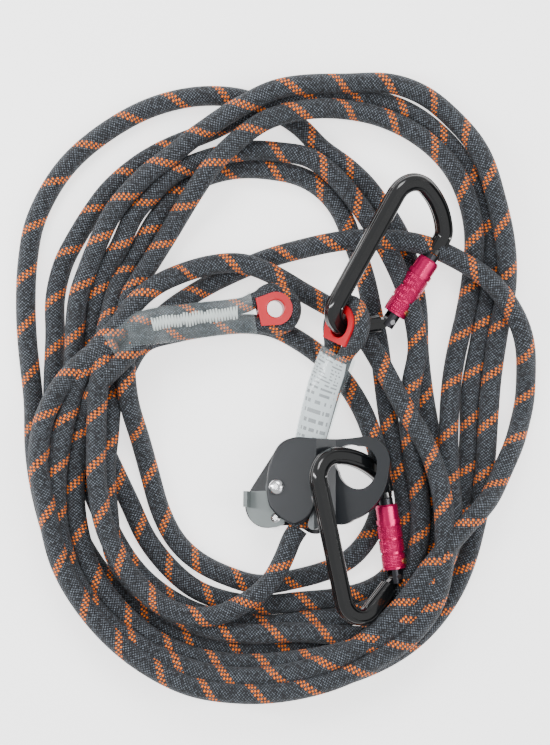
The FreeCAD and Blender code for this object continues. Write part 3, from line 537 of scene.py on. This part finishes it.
def film_shell(name, stations, look):
    """The shrunk film: a thin skin round both legs, open at both ends, with soft creases."""
    mesh = bmesh.new()
    around, skin = 48, 0.25
    rings = []
    for i, (place, side, rise, half) in enumerate(sleeve_sections(stations, 10)):
        ring = []
        for k in range(around):
            turn = 2 * math.pi * k / around
            c, s = math.cos(turn), math.sin(turn)
            x = math.copysign(abs(c) ** BOXY, c) * (half.x + skin)
            z = math.copysign(abs(s) ** BOXY, s) * (half.y + skin)
            crease = 0.22 * noise.noise(Vector((i * 0.5, k * 0.45, 4.2)))
            ring.append(mesh.verts.new((place + side * (x + crease * c) + rise * (z + crease * s)) * MM))
        rings.append(ring)
    for a, b in zip(rings, rings[1:]):
        for k in range(around):
            after = (k + 1) % around
            mesh.faces.new((a[k], a[after], b[after], b[k])).smooth = True
    shell = link(name, mesh, look)
    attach(shell, "adjuster")
    return shell


def thread_band(name, places, across, half_width, radius, look):
    """Zigzag stitching along a line of places: one fine thread in a piece for each stitch."""
    mesh = bmesh.new()
    line = []
    for i, place in enumerate(places):
        swing = half_width * (1 if i % 2 else -1) * (1 + 0.35 * noise.noise(Vector((i * 0.9, 0.3, 7.1))))
        line.append(place + across * swing)
    for a, b in zip(line, line[1:]):
        run = (b - a).normalized()
        side = run.cross(UP).normalized()
        rings = []
        for place, lift in ((a, 0.0), (a.lerp(b, 0.5), 0.45), (b, 0.0)):
            ring = []
            for k in range(6):
                turn = 2 * math.pi * k / 6
                spoke = side * math.cos(turn) + UP * math.sin(turn)
                ring.append(mesh.verts.new((place + UP * lift + spoke * radius) * MM))
            rings.append(ring)
        for low, high in zip(rings, rings[1:]):
            for k in range(6):
                after = (k + 1) % 6
                mesh.faces.new((low[k], low[after], high[after], high[k])).smooth = True
        mesh.faces.new(rings[0][::-1])
        mesh.faces.new(rings[-1])
    band = link(name, mesh, look)
    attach(band, "adjuster")
    return band


def film_material():
    """Clear film: mostly see-through, with a milky haze that varies and a gloss."""
    made = Shader("clear film")
    tree = made.tree
    clear = made.node("ShaderNodeBsdfTransparent")
    clear.inputs[0].default_value = (0.93, 0.96, 0.96, 1)
    mixer = made.node("ShaderNodeMixShader")
    haze = made.ramp(made.noise(45.0, 2.0), 0.35, 0.75)
    made.feed(mixer.inputs[0], made.maths("MULTIPLY_ADD", haze, 0.16, 0.07))
    made.surface(Base_Color=made.mix(haze, (0.52, 0.60, 0.62, 1), (0.80, 0.84, 0.86, 1)), Roughness=0.16)
    tree.links.new(clear.outputs[0], mixer.inputs[1])
    tree.links.new(made.bsdf.outputs[0], mixer.inputs[2])
    tree.links.new(mixer.outputs[0], tree.nodes["Material Output"].inputs[0])
    return made.material


film_look = film_material()
thread_look = coated("white thread", (0.72, 0.74, 0.72), 0.7, 0.0, 0.1, 2500.0, 0.00015)
eye_pieces = {}
for which, eye in EYES.items():
    rope_stations = eye["stations"][:-1] if which == "tail" else eye["stations"]
    line = [p * MM for p in even_line(eye_centre_line(eye, rope_stations), 2.2)]
    legs = rope_tube(f"eye_rope_{which}", line, 0.00525, 24, (0.92, 0.98))
    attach(legs, "adjuster")
    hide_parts(f"rope_loop_{which}")
    film = film_shell(f"film_{which}", eye["stations"], film_look)
    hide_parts(f"sleeve_{which}")
    eye_pieces[which] = [legs, film]

stitch_start, stitch_end = Vector((-64.5, 53.2, 27.9)), Vector((-114.5, 46.0, 35.6))
stitch_count = 58
stitch_places = [stitch_start.lerp(stitch_end, k / stitch_count) for k in range(stitch_count + 1)]
stitching = thread_band(
    "stitching_tail", stitch_places, Vector((0.14, -0.99, 0.0)), 3.8, 0.55, thread_look
)
eye_pieces["tail"].append(stitching)


# ------------------------------------------------------------------ white label in the head sleeve


def label_material():
    """A printed label: pale film with rows of grey dashes."""
    made = Shader("printed label")
    split = made.node("ShaderNodeSeparateXYZ")
    made.tree.links.new(made.node("ShaderNodeUVMap", uv_map="label").outputs[0], split.inputs[0])
    along, across = split.outputs[0], split.outputs[1]
    row = made.maths("FRACT", made.maths("MULTIPLY", along, 16.0))
    inked = made.maths("LESS_THAN", row, 0.42)
    spot = made.node("ShaderNodeTexWhiteNoise", noise_dimensions="2D")
    spots = made.node("ShaderNodeCombineXYZ")
    made.feed(spots.inputs[0], made.maths("FLOOR", made.maths("MULTIPLY", along, 16.0)))
    made.feed(spots.inputs[1], made.maths("FLOOR", made.maths("MULTIPLY", across, 22.0)))
    made.tree.links.new(spots.outputs[0], spot.inputs["Vector"])
    dash = made.maths("GREATER_THAN", spot.outputs["Value"], 0.42)
    inside = made.maths("LESS_THAN", made.maths("ABSOLUTE", made.maths("SUBTRACT", across, 0.5)), 0.38)
    ink = made.maths("MULTIPLY", made.maths("MULTIPLY", inked, dash), inside)
    base = made.mix(made.noise(90.0), (0.62, 0.65, 0.67, 1), (0.78, 0.80, 0.82, 1))
    made.surface(Base_Color=made.mix(made.maths("MULTIPLY", ink, 0.75), base, (0.12, 0.12, 0.13, 1)))
    made.surface(Roughness=0.35, Coat_Weight=0.4)
    return made.material


def label_strip():
    """The label: a thin sheet bent over the sleeve's upper face."""
    stations = EYES["head"]["stations"]
    mesh = bmesh.new()
    uv = mesh.loops.layers.uv.new("label")
    columns = 14
    rows = []
    for place, side, rise, half in sleeve_sections(stations, 8, 3):
        row = []
        for k in range(columns + 1):
            turn = math.radians(160 - 140 * k / columns)
            c, s = math.cos(turn), math.sin(turn)
            x = math.copysign(abs(c) ** BOXY, c) * half.x
            z = s**BOXY * half.y
            row.append(mesh.verts.new((place + side * x + rise * z) * MM))
        rows.append(row)
    last = len(rows) - 1
    for i in range(last):
        for k in range(columns):
            face = mesh.faces.new((rows[i][k], rows[i][k + 1], rows[i + 1][k + 1], rows[i + 1][k]))
            face.smooth = True
            spots = ((i, k), (i, k + 1), (i + 1, k + 1), (i + 1, k))
            for loop, (a, b) in zip(face.loops, spots):
                loop[uv].uv = (a / last, b / columns)
    strip = link("label_head", mesh, label_material())
    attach(strip, "adjuster")


label_strip()

# ------------------------------------------------------------------ ribbed locking sleeves

JOINTS = {joint["name"]: joint for joint in frame["joints"]}
# The locking sleeve, in millimetres: its start above the gate's hinge, length, radius and bore radius.
SLEEVE_START, SLEEVE_LENGTH, SLEEVE_RADIUS, SLEEVE_BORE = 4.8, 38.6, 7.4, 5.36
RIB_PITCH = 0.95
# (start, end, radius, ribbed) along the sleeve, as shares of its length and radius.
SLEEVE_RINGS = [
    (0.00, 0.035, 0.93, False),
    (0.035, 0.23, 0.97, True),
    (0.23, 0.27, 0.88, False),
    (0.27, 0.45, 1.00, True),
    (0.45, 0.48, 0.89, False),
    (0.48, 0.67, 1.00, True),
    (0.67, 0.70, 0.90, False),
    (0.70, 0.77, 0.99, False),
    (0.77, 0.80, 0.89, False),
    (0.80, 0.97, 0.90, False),
]


def knurled_sleeve(which):
    """The locking sleeve with fine ribs round its three grip rings, on the axis that it twists about."""
    twist, gate = JOINTS[f"sleeve_{which}_twist"], JOINTS[f"gate_{which}_swing"]
    base = Vector(twist["pos_m"]) / MM
    along, z_axis = Vector(twist["axis"]), Vector(gate["axis"])
    x_axis = along.cross(z_axis)
    bore_share = SLEEVE_BORE / SLEEVE_RADIUS
    around, teeth = 160, 40
    mesh = bmesh.new()
    stations = [(0.0, bore_share, False)]
    for begin, end, share, ribbed in SLEEVE_RINGS:
        steps = 60 if ribbed else 2
        for k in range(steps + 1):
            stations.append((begin + (end - begin) * k / steps, share, ribbed and 0 < k < steps))
    stations += [(1.0, 0.80, False), (1.0, bore_share, False)]
    rings = []
    for share, wide, ribbed in stations:
        reach = SLEEVE_START + share * SLEEVE_LENGTH
        ring = []
        for k in range(around):
            turn = 2 * math.pi * k / around
            r = SLEEVE_RADIUS * wide
            if ribbed:
                rib = math.cos(2 * math.pi * reach / RIB_PITCH)
                r += 0.11 * rib - 0.11 + 0.04 * math.cos(teeth * turn)
            spoke = x_axis * math.cos(turn) + z_axis * math.sin(turn)
            ring.append(mesh.verts.new((base + along * reach + spoke * r) * MM))
        rings.append(ring)
    rings.append(rings[0])
    for a, b in zip(rings, rings[1:]):
        for k in range(around):
            after = (k + 1) % around
            mesh.faces.new((a[k], b[k], b[after], a[after]))
    mesh.normal_update()
    sleeve = link(f"knurled_sleeve_{which}", mesh, LOOKS["lock_sleeve"])
    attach(sleeve, f"lock_sleeve_{which}_body")
    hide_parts(f"lock_sleeve_{which}")


for which in ("lower", "upper"):
    knurled_sleeve(which)

# ------------------------------------------------------------------ room and camera

floor_mesh = bpy.data.meshes.new("floor")
reach = 4.0
floor_mesh.from_pydata(
    [(-reach, -reach, 0), (reach, -reach, 0), (reach, reach, 0), (-reach, reach, 0)], [], [(0, 1, 2, 3)]
)
floor = bpy.data.objects.new("floor", floor_mesh)
bpy.context.scene.collection.objects.link(floor)
paper = Shader("floor paper")
tone = paper.mix(paper.noise(3.0), (0.93, 0.93, 0.93, 1), (0.96, 0.96, 0.96, 1))
paper.surface(Base_Color=tone, Roughness=0.9, Emission_Color=tone, Emission_Strength=1.7)
floor.data.materials.append(paper.material)

world = bpy.data.worlds.new("studio")
bpy.context.scene.world = world
world.use_nodes = True
world.node_tree.nodes["Background"].inputs[0].default_value = (1.0, 1.0, 1.0, 1.0)
world.node_tree.nodes["Background"].inputs[1].default_value = 0.8


def soft_light(name, place, aim, wide, power):
    """A square lamp, aimed at a point."""
    lamp = bpy.data.lights.new(name, "AREA")
    lamp.shape = "SQUARE"
    lamp.size = wide
    lamp.energy = power
    light = bpy.data.objects.new(name, lamp)
    light.location = place
    light.rotation_euler = (Vector(aim) - Vector(place)).to_track_quat("-Z", "Y").to_euler()
    bpy.context.scene.collection.objects.link(light)
    return light


def strip_light(name, place, power):
    """A long narrow lamp that draws a bright line along the glossy bars."""
    strip = soft_light(name, place, (0.0, 0.0, 0.02), 0.08, power)
    strip.data.shape = "RECTANGLE"
    strip.data.size_y = 0.9


soft_light("key", (-0.15, 1.2, 1.4), (0, 0, 0), 0.8, 20.0)
soft_light("fill", (1.0, -0.6, 1.2), (0, 0, 0), 1.2, 8.0)
strip_light("left strip", (-0.75, 0.1, 0.5), 7.0)
strip_light("right strip", (0.6, 0.0, 0.9), 5.0)

lens = bpy.data.cameras.new("camera")
lens.sensor_fit = "VERTICAL"
lens.sensor_height = 36.0
lens.lens = 80.5
camera = bpy.data.objects.new("camera", lens)
camera.location = (-42.3 * MM, 17.55 * MM, 1.015)
bpy.context.scene.collection.objects.link(camera)
bpy.context.scene.camera = camera
